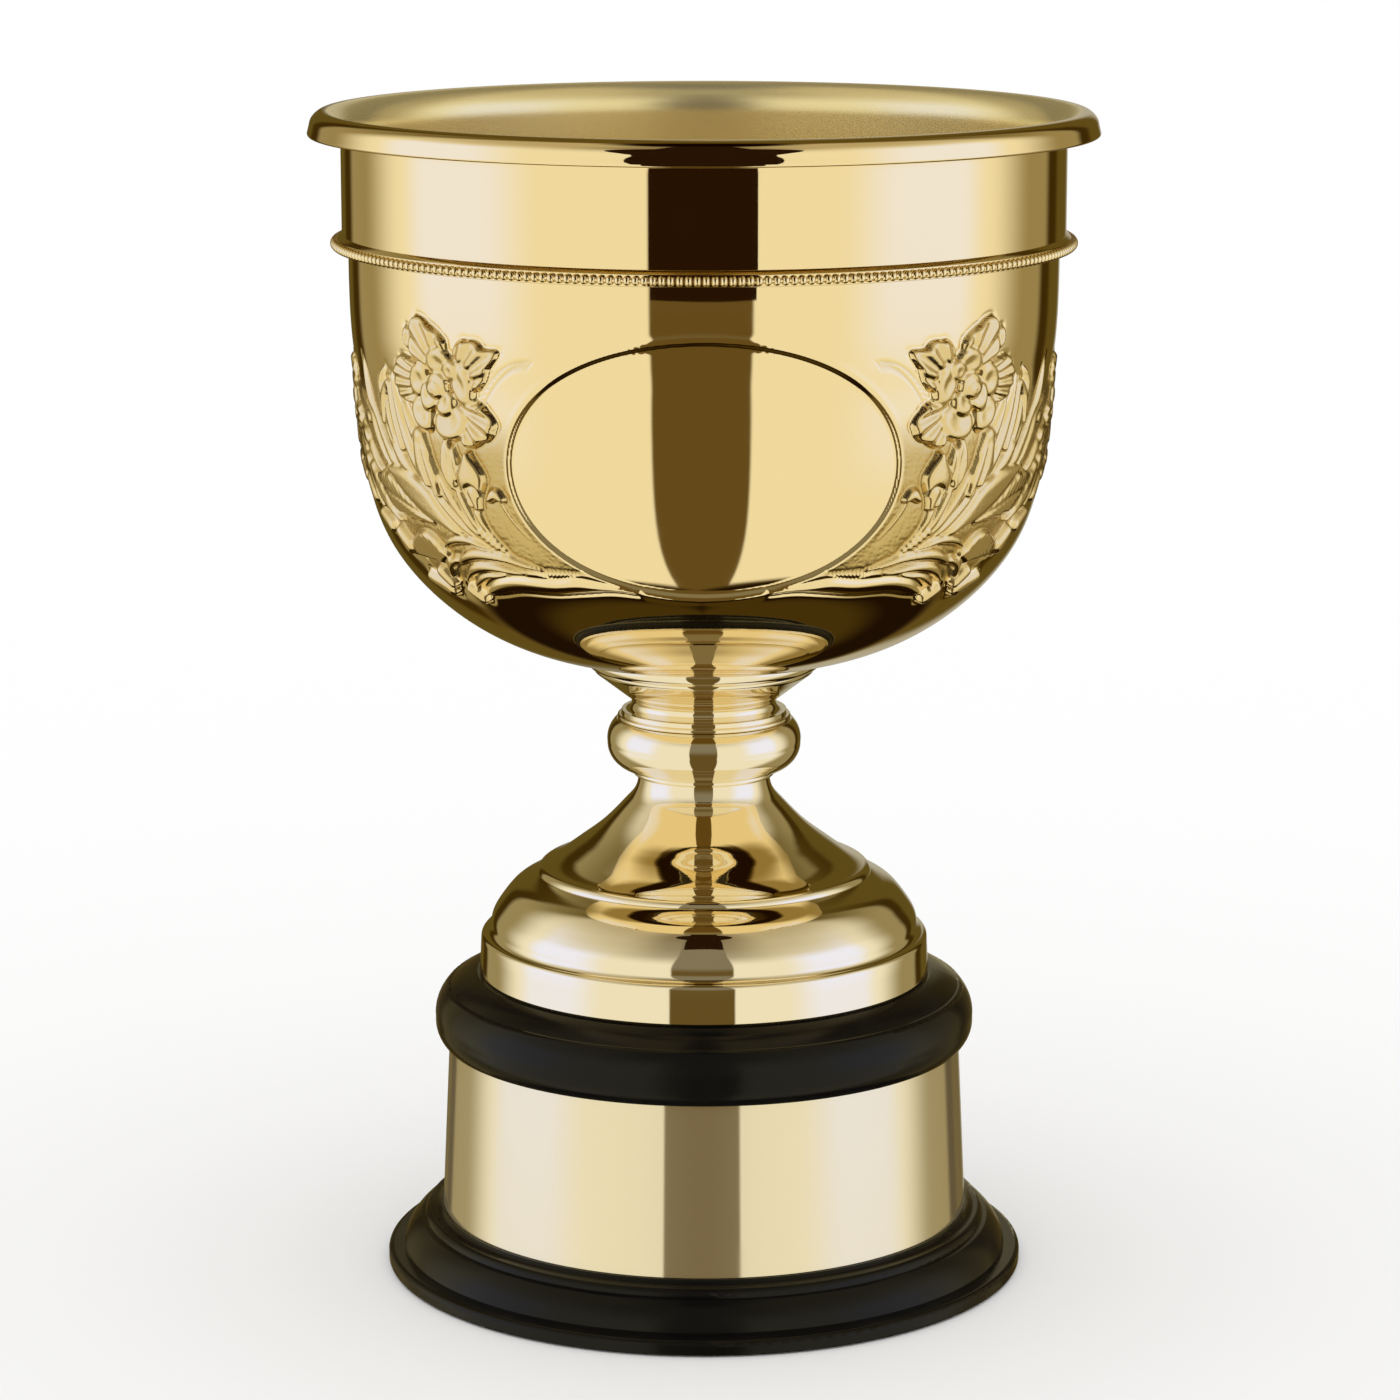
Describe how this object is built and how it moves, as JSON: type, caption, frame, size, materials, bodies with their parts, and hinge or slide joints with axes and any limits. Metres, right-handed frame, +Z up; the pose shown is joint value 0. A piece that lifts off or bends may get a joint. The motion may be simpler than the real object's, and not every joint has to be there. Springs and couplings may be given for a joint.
{
  "type": "cup trophy",
  "caption": "Open presentation cup without handles or lid: a bowl chased with flowers round a plain oval, beaded girdle, rolled lip, knopped stem and domed foot on a round plinth.",
  "frame": {"origin": "centre of the felt's underside, on the table", "axes": "+Z up along the axis that every piece is turned about; -Y faces the viewer, where the plain oval is"},
  "size_m": [0.19, 0.19, 0.2868],
  "materials": {
    "gold_polished": "mirror-polished gold plate on spun brass",
    "black_lacquer": "turned wood under satin black lacquer",
    "bare_wood": "unfinished turned wood, hidden under the band",
    "zinc_steel": "zinc-plated fasteners",
    "bare_brass": "unplated brass, hidden inside the cup",
    "green_felt": "pressed felt"
  },
  "bodies": {
    "root": {"felt_pad": "green_felt", "plinth_base": "black_lacquer", "plinth_core": "bare_wood", "plinth_band": "gold_polished", "plinth_cap": "black_lacquer", "wood_screws": "zinc_steel", "tie_rod": "zinc_steel", "washers": "zinc_steel", "hex_nuts": "zinc_steel", "foot_bridge": "bare_brass", "foot": "gold_polished", "stem": "gold_polished", "stem_ring": "gold_polished", "knop": "gold_polished", "knop_ring": "gold_polished", "collar": "gold_polished", "seat_ring": "gold_polished", "bowl_boss": "bare_brass", "bowl": "gold_polished", "rim_band": "gold_polished", "girdle_ring": "gold_polished", "beaded_wire": "gold_polished"}
  },
  "joints": []
}
